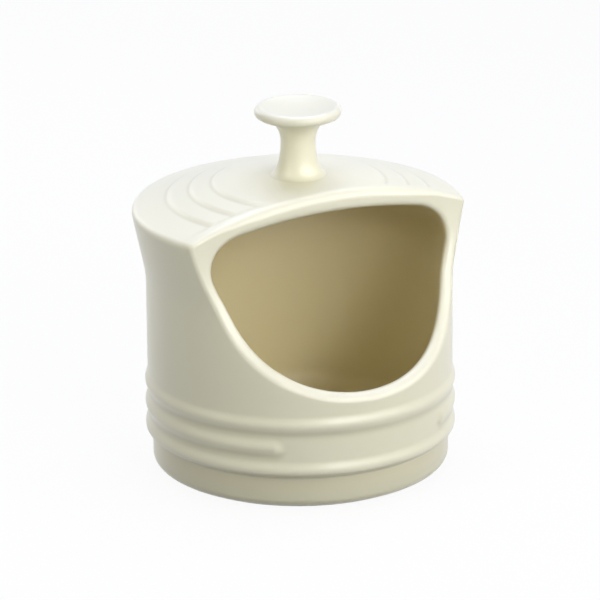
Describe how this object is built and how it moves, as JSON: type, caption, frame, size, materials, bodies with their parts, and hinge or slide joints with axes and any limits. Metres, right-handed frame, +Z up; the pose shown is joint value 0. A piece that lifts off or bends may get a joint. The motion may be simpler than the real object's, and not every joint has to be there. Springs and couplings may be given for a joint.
{
  "type": "salt crock",
  "caption": "Glazed stoneware salt crock: a banded drum with a flared rim, a ringed roof with a knob, and a scooped mouth in front for a hand or spoon.",
  "frame": {"origin": "on the drum's turning axis, in the plane that the crock stands on", "axes": "+Z up along the turning axis, -Y out of the mouth, +X to the right as seen from in front of the mouth"},
  "size_m": [0.114, 0.1106, 0.1274],
  "materials": {
    "ivory_glaze": "glossy ivory glaze",
    "bare_clay": "bare fired clay"
  },
  "bodies": {
    "root": {"foot_ring": "bare_clay", "base": "ivory_glaze", "wall": "ivory_glaze", "mouth_lip": "ivory_glaze", "roof": "ivory_glaze", "knob": "ivory_glaze"}
  },
  "joints": []
}
